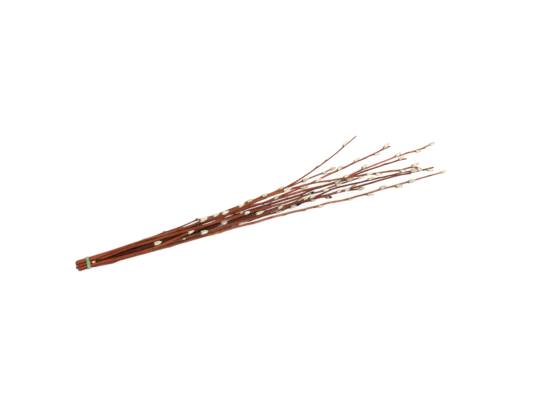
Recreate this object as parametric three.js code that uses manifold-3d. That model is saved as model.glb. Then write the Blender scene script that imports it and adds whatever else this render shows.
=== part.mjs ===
// A tied bunch of cut pussy-willow stems, lying flat on the floor.
// Millimetres, +Z up. +X runs along the bunch from the cut ends to the tips.
// Each stem is one closed solid with its catkins and buds grown on it, and one
// rubber band holds the stems together near the cut ends.

import * as THREE from 'three';
import Module from 'manifold-3d';

const wasm = await Module();
wasm.setup();

// Driving dimensions.

const BAND_X = 24; // middle of the band, from the cut ends
const BAND_WIDTH = 6;
const BAND_THICK = 1.2;
const BAND_GAP = 0.3; // between the band and the bark
const PACK_RADIUS = 7.8; // ring of the nine outer stems inside the band
const INNER_RADIUS = 2.95; // ring of the three stems in the middle
const BUTT_RADIUS = 2.4; // half thickness of a stem at the cut end
const TAPER_POWER = 1.5;
const STEM_SIDES = 6;
const NODE_SPACING = 32; // along a stem, from bud to bud
const FIRST_BUD = 98; // below this the stems are bare and lie close together
const NODE_SWELL = 1.12;
const NODE_KINK = 0.5; // a willow stem steps sideways a little at each bud
const CATKIN_LENGTH = [12.5, 17];
const CATKIN_RADIUS = [2.6, 3.6];
const CATKIN_LEAN = [8, 18]; // degrees away from the stem
const BUD_LENGTH = 6.5;
const BUD_RADIUS = 1.35;
const CLEARANCE = 0.45;
const SIMPLIFY = 0.2; // corners closer to a straight line than this are dropped

// Outline of a catkin and of a bud: share of the length, share of the radius.
const CATKIN_OUTLINE = [[0.14, 0.74], [0.42, 1], [0.8, 0.62]];
const BUD_OUTLINE = [[0.45, 1]];

// The middle of the bottom of the whole bunch, taken as the origin.
const ORIGIN = [361, 21.5, 0];

// Height of the middle of the bunch inside the band: the two bottom stems rest
// on the band, and the band's flat underside rests on the floor.
const BUNCH_Z = BAND_THICK + BAND_GAP + BUTT_RADIUS + PACK_RADIUS * Math.cos(20 * Math.PI / 180);

// The stems.

// slot: where the stem sits inside the band, an angle in degrees from +Y towards
// +Z. inner: true for the three stems in the middle.
// butt: where the cut is, cut: its slant in degrees, facing: the side it faces.
// tip: half thickness at the end. ends: what the stem ends in.
// route: points [x, y, z] that the stem passes on its way to the tip.
// shoots: [x, roll, kind], roll being the side of the stem in degrees, 0 up,
// 90 towards +Y. Kinds: c catkin, l large, s short, t thin, n not yet open,
// d still inside its dark bud scale, b dormant bud.
const STEMS = {
  a: {
    slot: 130, butt: 4.1, cut: 28, facing: 10, tip: 1.15, ends: 'bare', seed: 11,
    route: [[90, -8, 19.5], [150, -8.7, 20.7], [200, -2.5, 21.2], [281, 8.8, 24.4], [358, 18.8, 30.5],
      [415, 28, 36], [480, 46.5, 41.5], [523, 63, 45], [559, 79, 48]],
    shoots: [[208, -12, 'c'], [292, 60, 'b'], [392, -50, 'b'], [470, 60, 'b'], [530, 55, 'c']],
  },
  b: {
    slot: -30, butt: 2.7, cut: 22, facing: 40, tip: 1.15, ends: 'catkin', seed: 23,
    route: [[90, 8.8, 6.7], [140, 10.4, 6], [202, 13.8, 5.2], [238, 16.8, 4.7], [270, 15.7, 4.2],
      [330, 19.6, 3.6], [430, 27, 3.3], [506, 34, 2.78]],
    shoots: [[333, 50, 'c'], [362, 55, 'c'], [399, 60, 's'],
      [445, 10, 'c'], [487, -45, 's']],
  },
  c: {
    slot: 10, butt: 4.7, cut: 30, facing: 60, tip: 1.2, ends: 'bare', seed: 37,
    route: [[90, 7.4, 11.8], [161, 6.8, 12], [238, 8.9, 15.5], [335, 10.1, 18.5], [374, 11.9, 20.5],
      [444, 18.9, 24.5], [496, 26, 28], [547, 33, 31], [620, 43, 35]],
    shoots: [[380, 20, 'c'], [433, -35, 'c'], [510, 5, 'c'], [545, 40, 's'], [566, -30, 'b'],
      [584, -45, 'c'], [604, 50, 'c']],
  },
  d: {
    slot: 50, butt: 3.1, cut: 33, facing: 20, tip: 1.1, ends: 'bare', seed: 41,
    route: [[90, 7.6, 17.7], [140, 9.6, 19], [240, 12.4, 25.5], [295, 13.9, 31], [334, 18, 36],
      [412, 20.5, 42], [455, 19, 45], [506, 11.8, 49], [560, 4.8, 52.5], [618, -4.7, 56.5],
      [644, -7.2, 58], [657, -13.5, 58.5]],
    shoots: [[238, 45, 'c'], [263, 65, 't'], [279, 30, 'c'], [311, 70, 'c'], [396, 15, 'c'],
      [458, 75, 'c'], [512, 45, 'c'], [550, 5, 'c'], [571, -70, 's'], [598, 30, 'b'],
      [616, -45, 'c'], [640, 50, 'c'], [650, -70, 's']],
  },
  e: {
    slot: -70, butt: 5.1, cut: 18, facing: 0, tip: 1.15, ends: 'catkin', seed: 53,
    route: [[90, 4.2, 4.3], [140, 5, 4.6], [240, 9, 7.6], [300, 10, 10], [337, 12.5, 12],
      [374, 10.4, 15],
      [433, 11.1, 21.5], [508, 8.9, 28.5], [541, 14.6, 31.5], [612, 20.1, 36], [673, 21.8, 39.5],
      [694, 24.3, 41]],
    shoots: [[480, -60, 'b'], [554, 40, 'c'], [622, 70, 'c'], [661, -40, 'c']],
  },
  f: {
    slot: 150, inner: true, butt: 3.8, cut: 25, facing: -30, tip: 1.15, ends: 'bare', seed: 67,
    route: [[90, -2, 15.4], [145, -2.2, 18.8], [188, -0.6, 16], [240, 1.5, 16.2], [333, 5.7, 22],
      [390, 6.6, 27], [429, 6.2, 31], [460, 8.4, 34], [508, 7.4, 38], [548, 11.8, 40.5], [628, 13, 44.5],
      [640, 11.8, 45]],
    shoots: [[144, -5, 'c'], [312, 50, 's'], [468, -40, 'b'], [492, 25, 'c'], [517, -45, 's'],
      [596, 60, 'b'], [622, 45, 'c']],
  },
  g: {
    slot: 30, inner: true, butt: 2.3, cut: 20, facing: 0, tip: 1.15, ends: 'catkin', seed: 71,
    route: [[90, 2.2, 11], [140, 1.2, 11], [200, 0, 10.8], [220, -1.1, 11], [240, -2.2, 12.2],
      [270, -3, 16], [300, -4, 20.2], [350, -5.9, 24], [400, -6.8, 24.5], [430, -5, 26],
      [461, -5.6, 27], [500, -1.9, 27.2], [564, -6.8, 29], [623, -10, 31], [648, -13, 32]],
    shoots: [[273, 5, 'c'], [341, 35, 'c'], [380, 60, 'c'], [420, 45, 'c'], [558, 70, 'c'],
      [594, -30, 'b']],
  },
  h: {
    slot: 170, butt: 4.4, cut: 35, facing: -40, tip: 1.2, ends: 'bare', seed: 83,
    route: [[90, -7.6, 12.3], [140, -7.6, 12.4], [240, -8.5, 18], [309, -9.9, 19], [348, -9.3, 19],
      [408, -6.2, 18.4], [467, -8.7, 18], [540, -11.5, 18.6], [610, -13, 19], [694, -18.8, 19.5]],
    shoots: [[194, -35, 'n'], [233, 0, 'c'], [446, 35, 'c'], [498, 25, 's'], [512, -5, 's'], [531, 55, 't'],
      [569, -20, 'b'], [623, 30, 'b'], [677, -40, 't']],
  },
  i: {
    slot: -110, butt: 1.9, cut: 24, facing: 0, tip: 1.1, ends: 'catkin', seed: 97,
    route: [[90, -6.4, 4], [140, -7.4, 4.7], [240, -9.8, 8.5], [329, -12, 9.6], [405, -11.6, 9.4],
      [440, -9.8, 9.3], [508, -11.8, 9.5], [545, -16.6, 10]],
    shoots: [[306, -5, 'c'], [377, -20, 't'], [407, 10, 'c'], [422, 20, 'd'], [447, -40, 's'],
      [477, -70, 'c']],
  },
  j: {
    slot: 90, butt: 3.5, cut: 30, facing: -15, tip: 1.2, ends: 'catkin', seed: 101,
    route: [[90, 3.8, 21.8], [145, 4.3, 23.7], [215, 3.7, 26.8], [272, 2.7, 29],
      [349, 2.1, 31.4], [450, 1.1, 32.8], [466, 0.6, 32.6], [491, 2.5, 32.3], [545, 3.4, 32]],
    shoots: [[31, -36, 'n'], [38, -30, 'd'], [318, 10, 'c'], [443, 30, 'c'], [470, -25, 'c'], [495, 0, 'c']],
  },
  k: {
    slot: -150, butt: 4.0, cut: 26, facing: -60, tip: 1.2, ends: 'catkin', seed: 113,
    route: [[71, -10.1, 7.3], [140, -12.4, 7], [213, -13.9, 6], [309, -17, 4.8], [387, -20.3, 3.9],
      [440, -23, 3.5], [486, -23.8, 3.3], [510, -27.4, 3.2], [560, -29, 3.2], [640, -30.8, 3],
      [712, -32.6, 2.2]],
    shoots: [[108, 40, 'n'], [256, -20, 'b'], [288, 35, 'b'], [394, -35, 'b'], [459, -75, 'c'], [521, -60, 'n'],
      [557, -55, 'c'], [585, 60, 'c'], [614, -60, 'l'], [641, -10, 'c']],
  },
  l: {
    slot: -90, inner: true, butt: 3.2, cut: 24, facing: 20, tip: 1.5, ends: 'bare', seed: 131,
    route: [[90, -1, 6.8], [140, -2, 6.3], [200, -3.8, 6.2], [240, -4, 6.6], [300, -1.2, 8.2],
      [352, 0.4, 10.5], [378, 1.6, 11.5]],
    shoots: [[338, -40, 'b']],
  },
};

// Colours.

function bark(color) {
  return new THREE.MeshStandardMaterial({ color, roughness: 0.42, metalness: 0 });
}

const BARK = {
  a: bark(0x9a4820), b: bark(0x7a2a1e), c: bark(0x6e2420), d: bark(0xa04c20), e: bark(0x7a2c1e),
  f: bark(0x84341e), g: bark(0x742a1e), h: bark(0x6e2620), i: bark(0x702820), j: bark(0xa8521e),
  k: bark(0x8a5028), l: bark(0x5c2018),
};
const RUBBER = new THREE.MeshStandardMaterial({ color: 0x82c8a0, roughness: 0.6, metalness: 0 });

// Helpers.

const rad = (degrees) => degrees * Math.PI / 180;

// Repeatable random numbers from 0 to 1.
function draws(seed) {
  let state = seed * 7919;
  return () => {
    state = (state * 16807) % 2147483647;
    return state / 2147483647;
  };
}

const between = (range, share) => range[0] + (range[1] - range[0]) * share;

function slotPoint({ slot, inner }) {
  const radius = inner ? INNER_RADIUS : PACK_RADIUS;
  return [radius * Math.cos(rad(slot)), BUNCH_Z + radius * Math.sin(rad(slot))];
}

// The whole route of a stem: straight through the band, then on to the tip.
function fullRoute(stem) {
  const [y, z] = slotPoint(stem);
  return [[-6, y, z], [8, y, z], [38, y, z], ...stem.route];
}

// Height or sideways place at x, smooth through the points of the route.
function smooth(points, axis, x) {
  let i = 0;
  while (i < points.length - 2 && x > points[i + 1][0]) i += 1;
  const slope = (n) => {
    const low = points[Math.max(0, n - 1)];
    const high = points[Math.min(points.length - 1, n + 1)];
    return (high[axis] - low[axis]) / (high[0] - low[0]);
  };
  const a = points[i];
  const b = points[i + 1];
  const span = b[0] - a[0];
  const t = Math.min(1.2, Math.max(0, (x - a[0]) / span));
  const t2 = t * t;
  const t3 = t2 * t;
  return (2 * t3 - 3 * t2 + 1) * a[axis] + (t3 - 2 * t2 + t) * span * slope(i)
    + (3 * t2 - 2 * t3) * b[axis] + (t3 - t2) * span * slope(i + 1);
}

function axisPoint(stem, x) {
  return new THREE.Vector3(x, smooth(stem.points, 1, x), smooth(stem.points, 2, x));
}

// Directions at x: along the stem, sideways and up.
function axisFrame(stem, x) {
  const along = axisPoint(stem, x + 1).sub(axisPoint(stem, x - 1)).normalize();
  const side = new THREE.Vector3(0, 0, 1).cross(along).normalize();
  const up = along.clone().cross(side);
  return { along, side, up };
}

function rollDirection(frame, roll) {
  return frame.up.clone().multiplyScalar(Math.cos(rad(roll)))
    .addScaledVector(frame.side, Math.sin(rad(roll)));
}

function stemRadius(stem, x) {
  const share = Math.min(1, Math.max(0, x / stem.end));
  return stem.tip + (BUTT_RADIUS - stem.tip) * (1 - share ** TAPER_POWER);
}

// A closed surface made of rings of points, with a point or a flat at each end.
function ringSolid(rings, startPoint, endPoint) {
  const sides = rings[0].length;
  const positions = [];
  rings.forEach((ring) => ring.forEach((p) => positions.push(p.x, p.y, p.z)));
  positions.push(startPoint.x, startPoint.y, startPoint.z);
  positions.push(endPoint.x, endPoint.y, endPoint.z);
  const first = rings.length * sides;
  const faces = [];
  for (let k = 0; k < sides; k += 1) {
    const next = (k + 1) % sides;
    for (let r = 0; r < rings.length - 1; r += 1) {
      const a = r * sides + k;
      const b = r * sides + next;
      faces.push(a, b + sides, b, a, a + sides, b + sides);
    }
    const last = (rings.length - 1) * sides;
    faces.push(first, k, next);
    faces.push(first + 1, last + next, last + k);
  }
  const mesh = new wasm.Mesh({
    numProp: 3,
    vertProperties: new Float32Array(positions),
    triVerts: new Uint32Array(faces),
  });
  mesh.merge();
  return new wasm.Manifold(mesh);
}

function ringAt(centre, up, side, radius, sides) {
  const ring = [];
  for (let k = 0; k < sides; k += 1) {
    const angle = 2 * Math.PI * k / sides;
    ring.push(centre.clone()
      .addScaledVector(up, radius * Math.cos(angle))
      .addScaledVector(side, radius * Math.sin(angle)));
  }
  return ring;
}

// Where the shoots go.

// A shoot's own axis, from inside the stem outwards.
function shootAxis(stem, shoot) {
  const frame = axisFrame(stem, shoot.x);
  const out = rollDirection(frame, shoot.roll);
  const radius = stemRadius(stem, shoot.x);
  const start = axisPoint(stem, shoot.x).addScaledVector(out, radius * shoot.root);
  const along = frame.along.clone().multiplyScalar(Math.cos(rad(shoot.lean)))
    .addScaledVector(out, Math.sin(rad(shoot.lean)));
  return { start, along };
}

// True where a shoot keeps clear of the other stems, of their shoots and of the floor.
function isClear(stem, shoot, others, placed) {
  const { start, along } = shootAxis(stem, shoot);
  for (const [share, width] of CATKIN_OUTLINE) {
    const size = shoot.radius * width;
    const p = start.clone().addScaledVector(along, shoot.length * share);
    if (p.z - size < shoot.floor) return false;
    for (const other of others) {
      if (p.x > other.end + 6) continue;
      const q = axisPoint(other, Math.min(p.x, other.end));
      const reach = size + stemRadius(other, p.x) * NODE_SWELL + CLEARANCE;
      if (Math.hypot(p.y - q.y, p.z - q.z) < reach) return false;
    }
    for (const ball of placed) {
      if (ball.name === stem.name) {
        if (ball.x !== shoot.x && p.distanceTo(ball.p) < size + ball.size - 1) return false;
      } else if (p.distanceTo(ball.p) < size + ball.size + CLEARANCE) return false;
    }
  }
  return true;
}

const TURNS = [0, 20, -20, 40, -40, 60, -60, 85, -85, 110, -110, 135, -135, 160, -160];

// Places a shoot on the nearest clear side of its stem, or leaves it out.
function placeShoot(stem, shoot, stems, placed) {
  const others = stems.filter((s) => s !== stem);
  for (const turn of TURNS) {
    for (const lean of [shoot.lean, shoot.lean * 0.6]) {
      const trial = { ...shoot, roll: shoot.roll + turn, lean };
      if (isClear(stem, trial, others, placed)) {
        const { start, along } = shootAxis(stem, trial);
        for (const [share, width] of CATKIN_OUTLINE) {
          placed.push({
            name: stem.name,
            x: trial.x,
            p: start.clone().addScaledVector(along, trial.length * share),
            size: trial.radius * width,
          });
        }
        stem.shoots.push(trial);
        return;
      }
    }
  }
}

const SHARES = {
  c: [1, 1], l: [1.1, 1.15], s: [0.82, 0.9], t: [0.9, 0.76], n: [0.5, 0.52], d: [0.75, 0.66],
};

function newShoot(x, roll, kind, random) {
  if (kind === 'b') {
    const lean = 16 + 6 * random();
    return { x, roll, kind, length: BUD_LENGTH, radius: BUD_RADIUS, lean, root: 0.62, floor: 0.2 };
  }
  const [long, thick] = SHARES[kind];
  return {
    x,
    roll,
    kind,
    length: between(CATKIN_LENGTH, random()) * long,
    radius: between(CATKIN_RADIUS, random()) * thick,
    lean: between(CATKIN_LEAN, random()),
    root: 0.45,
    floor: 0.2,
  };
}

const stems = Object.entries(STEMS).map(([name, data]) => {
  const points = fullRoute(data);
  return { ...data, name, points, end: points[points.length - 1][0], wanted: data.shoots, shoots: [] };
});

const placed = [];
for (const stem of stems) {
  stem.random = draws(stem.seed);
  if (stem.ends === 'catkin') {
    const shoot = newShoot(stem.end - 4, 20, 'c', stem.random);
    placeShoot(stem, { ...shoot, lean: 4, root: 0.1, floor: -0.6 }, stems, placed);
  }
  for (const [x, roll, kind] of stem.wanted) {
    placeShoot(stem, newShoot(x, roll, kind, stem.random), stems, placed);
  }
}

// Dormant buds on all sides between the shoots named above.
for (const stem of stems) {
  let roll = 360 * stem.random();
  for (let x = FIRST_BUD + 16 * stem.random(); x < stem.end - 14; x += NODE_SPACING) {
    const near = Math.min(...stem.wanted.map((w) => Math.abs(w[0] - x)));
    roll += 144;
    if (near > 13) placeShoot(stem, newShoot(x, roll % 360, 'b', stem.random), stems, placed);
  }
}

// Solids.

// The bark: rings at each bud, a little thicker and stepped towards it, and
// plain rings between.
function stemSolid(stem) {
  const nodes = stem.shoots.filter((s) => s.x < stem.end - 6).sort((p, q) => p.x - q.x);
  const stations = [{ x: stem.butt, swell: 1 }, { x: BAND_X - 9, swell: 1 }, { x: BAND_X + 9, swell: 1 }];
  let last = BAND_X + 9;
  for (const node of nodes) {
    if (node.x - last > 9) {
      const parts = Math.max(1, Math.round((node.x - last) / 24));
      for (let n = 1; n < parts; n += 1) {
        stations.push({ x: last + (node.x - last) * n / parts, swell: 0.97 });
      }
      stations.push({ x: node.x, swell: NODE_SWELL, roll: node.roll });
      last = node.x;
    }
  }
  const parts = Math.max(1, Math.round((stem.end - last) / 22));
  for (let n = 1; n < parts; n += 1) {
    stations.push({ x: last + (stem.end - last) * n / parts, swell: 1 });
  }
  stations.push({ x: stem.end, swell: 0.72 });
  const rings = stations.map(({ x, swell, roll }, index) => {
    const frame = axisFrame(stem, x);
    const centre = axisPoint(stem, x);
    if (roll !== undefined) centre.addScaledVector(rollDirection(frame, roll), NODE_KINK);
    const ring = ringAt(centre, frame.up, frame.side, stemRadius(stem, x) * swell, STEM_SIDES);
    if (index === 0) {
      const towards = rollDirection(frame, stem.facing);
      for (const p of ring) p.x += p.clone().sub(centre).dot(towards) * Math.tan(rad(stem.cut));
    }
    return ring;
  });
  const frame = axisFrame(stem, stem.end);
  const tip = axisPoint(stem, stem.end).addScaledVector(frame.along, 1.2);
  return ringSolid(rings, axisPoint(stem, stem.butt), tip);
}

function shootSolid(stem, shoot) {
  const { start, along } = shootAxis(stem, shoot);
  const out = rollDirection(axisFrame(stem, shoot.x), shoot.roll);
  const side = along.clone().cross(out).normalize();
  const up = side.clone().cross(along);
  const outline = shoot.kind === 'b' ? BUD_OUTLINE : CATKIN_OUTLINE;
  const sides = shoot.kind === 'b' ? 4 : 6;
  const rings = outline.map(([share, size]) => {
    const centre = start.clone().addScaledVector(along, shoot.length * share);
    return ringAt(centre, up, side.clone().negate(), shoot.radius * size, sides);
  });
  return ringSolid(rings, start, start.clone().addScaledVector(along, shoot.length));
}

// The band: the outline of the tight bundle, pushed out by the gap and by the
// band's own thickness, with its corners taken off.
function bandSolid() {
  const centres = stems.map(slotPoint).map(([y, z]) => [y, z - BUNCH_Z]);
  const hull = (offset) => {
    const outline = [];
    for (let k = 0; k < 36; k += 1) {
      const angle = rad(10 * k + 5);
      const c = Math.cos(angle);
      const s = Math.sin(angle);
      let best = centres[0];
      for (const p of centres) {
        if (p[0] * c + p[1] * s > best[0] * c + best[1] * s) best = p;
      }
      outline.push([best[0] + offset * c, best[1] + offset * s]);
    }
    return outline;
  };
  const inner = BUTT_RADIUS + BAND_GAP + 0.02;
  const half = BAND_WIDTH / 2;
  const profile = [[-half, inner], [-half, inner + BAND_THICK - 0.3], [-half + 0.4, inner + BAND_THICK],
    [half - 0.4, inner + BAND_THICK], [half, inner + BAND_THICK - 0.3], [half, inner]];
  const positions = [];
  for (const [x, offset] of profile) {
    for (const [y, z] of hull(offset)) positions.push(BAND_X + x, y, z + BUNCH_Z);
  }
  const faces = [];
  const count = 36;
  for (let r = 0; r < profile.length; r += 1) {
    const next = (r + 1) % profile.length;
    for (let k = 0; k < count; k += 1) {
      const a = r * count + k;
      const b = r * count + (k + 1) % count;
      const c = next * count + (k + 1) % count;
      const d = next * count + k;
      faces.push(a, b, c, a, c, d);
    }
  }
  const mesh = new wasm.Mesh({
    numProp: 3,
    vertProperties: new Float32Array(positions),
    triVerts: new Uint32Array(faces),
  });
  mesh.merge();
  return new wasm.Manifold(mesh);
}

// Where the band is folded over itself: a short raised strap across it on the
// upper side, sunk into the band.
function foldSolid() {
  const angle = rad(62);
  const radius = PACK_RADIUS + BUTT_RADIUS + BAND_GAP + BAND_THICK - 0.35;
  const out = new THREE.Vector3(0, Math.cos(angle), Math.sin(angle));
  const round = new THREE.Vector3(0, -Math.sin(angle), Math.cos(angle));
  const along = new THREE.Vector3(0.62, 0, 0).addScaledVector(round, 0.78).normalize();
  const across = along.clone().cross(out).normalize();
  const centre = new THREE.Vector3(BAND_X + 0.3, 0, BUNCH_Z).addScaledVector(out, radius);
  const rings = [];
  for (const [share, size] of [[-0.8, 0.45], [-0.35, 0.95], [0.35, 1], [0.8, 0.5]]) {
    const ring = [];
    for (let k = 0; k < 8; k += 1) {
      const turn = 2 * Math.PI * k / 8;
      ring.push(centre.clone().addScaledVector(along, 4.2 * share)
        .addScaledVector(out, 1.15 * size * Math.cos(turn))
        .addScaledVector(across, -1.7 * size * Math.sin(turn)));
    }
    rings.push(ring);
  }
  const start = centre.clone().addScaledVector(along, -4.2);
  const end = centre.clone().addScaledVector(along, 4.2);
  return ringSolid(rings, start, end);
}

// The scene.

function meshFrom(name, solid, material) {
  const out = solid.getMesh();
  const positions = new Float32Array(out.numVert * 3);
  for (let i = 0; i < out.numVert; i += 1) {
    for (let k = 0; k < 3; k += 1) {
      positions[3 * i + k] = out.vertProperties[out.numProp * i + k] - ORIGIN[k];
    }
  }
  const geometry = new THREE.BufferGeometry();
  geometry.setAttribute('position', new THREE.BufferAttribute(positions, 3));
  geometry.setIndex(new THREE.BufferAttribute(new Uint32Array(out.triVerts), 1));
  geometry.computeVertexNormals();
  const mesh = new THREE.Mesh(geometry, material);
  mesh.name = name;
  return mesh;
}

const bunch = new THREE.Group();
bunch.name = 'pussy_willow_bunch';

for (const stem of stems) {
  const solids = [stemSolid(stem), ...stem.shoots.map((shoot) => shootSolid(stem, shoot))];
  const solid = wasm.Manifold.union(solids).simplify(SIMPLIFY);
  bunch.add(meshFrom(`willow_stem_${stem.name}`, solid, BARK[stem.name]));
}
bunch.add(meshFrom('rubber_band', bandSolid().add(foldSolid()), RUBBER));

export default bunch;
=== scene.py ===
"""Looks for a tied bunch of pussy willow branches: bark, catkins, bud scales and rubber band.

Lengths are in millimetres in the coordinates of the part's source, where X starts at the cut ends.
make_object moves them to the frame's origin and turns them into metres.
"""

from math import cos, dist, exp, hypot, pi, radians, sin, sqrt, tan

import bpy
import numpy as np
from mathutils import Matrix, Vector


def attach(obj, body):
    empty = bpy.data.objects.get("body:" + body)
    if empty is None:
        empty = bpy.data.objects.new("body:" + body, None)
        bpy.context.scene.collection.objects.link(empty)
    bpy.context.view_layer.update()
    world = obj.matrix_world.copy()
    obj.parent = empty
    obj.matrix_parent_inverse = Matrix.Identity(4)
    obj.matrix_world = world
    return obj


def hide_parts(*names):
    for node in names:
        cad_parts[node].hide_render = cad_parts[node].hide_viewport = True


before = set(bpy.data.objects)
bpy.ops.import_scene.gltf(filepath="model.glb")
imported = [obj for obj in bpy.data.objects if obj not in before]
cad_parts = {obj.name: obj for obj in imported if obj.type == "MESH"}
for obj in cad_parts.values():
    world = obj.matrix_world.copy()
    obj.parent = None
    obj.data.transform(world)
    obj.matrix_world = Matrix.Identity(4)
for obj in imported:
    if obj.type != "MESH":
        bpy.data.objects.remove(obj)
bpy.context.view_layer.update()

# Values shared with the part's source.

BAND_X = 24.0
BAND_THICK = 1.2
BAND_GAP = 0.3
PACK_RADIUS = 7.8  # of the nine outer stems' axes
INNER_RADIUS = 2.95
BUTT_RADIUS = 2.4
TAPER_POWER = 1.5
STRAIGHT = (-6, 8, 38)  # the stems run straight through these, under the band
NODE_SPACING = 32.0
NODE_APART = 9.0
FIRST_BUD = (98.0, 114.0)
LEAF_TURN = 144.0  # from one bud to the next, round a stem
BUD_APART = 13.0  # from a catkin
NEAR_TIP = 6.0
NODE_SWELL = 1.12
NODE_KINK = 0.5
CATKIN_LENGTH = (12.5, 17.0)
CATKIN_RADIUS = (2.6, 3.6)
CATKIN_LEAN = (8.0, 18.0)
BUD_LENGTH = 6.5
BUD_RADIUS = 1.35
BUD_LEAN = (16.0, 22.0)
CLEARANCE = 0.45
OWN_OVERLAP = 1.0  # allowed between the shoots of one stem
CATKIN_OUTLINE = ((0.14, 0.74), (0.42, 1.0), (0.8, 0.62))
ORIGIN = np.array([361.0, 21.5, 0.0])
BUNCH_Z = BAND_THICK + BAND_GAP + BUTT_RADIUS + PACK_RADIUS * cos(radians(20))
# Tried in turn, round the stem, until a shoot is clear.
TURNS = (0, 20, -20, 40, -40, 60, -60, 85, -85, 110, -110, 135, -135, 160, -160)
# Kinds of catkin, by their share of the length and of the radius: common, large, small, thin,
# nub and a thick dark bud, drawn nearly black as painted shade. Kind b is a dormant bud.
SHARES = {
    "c": (1, 1), "l": (1.1, 1.15), "s": (0.82, 0.9), "t": (0.9, 0.76), "n": (0.5, 0.52), "d": (0.75, 0.66),
}
BUDS = "bd"

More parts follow.
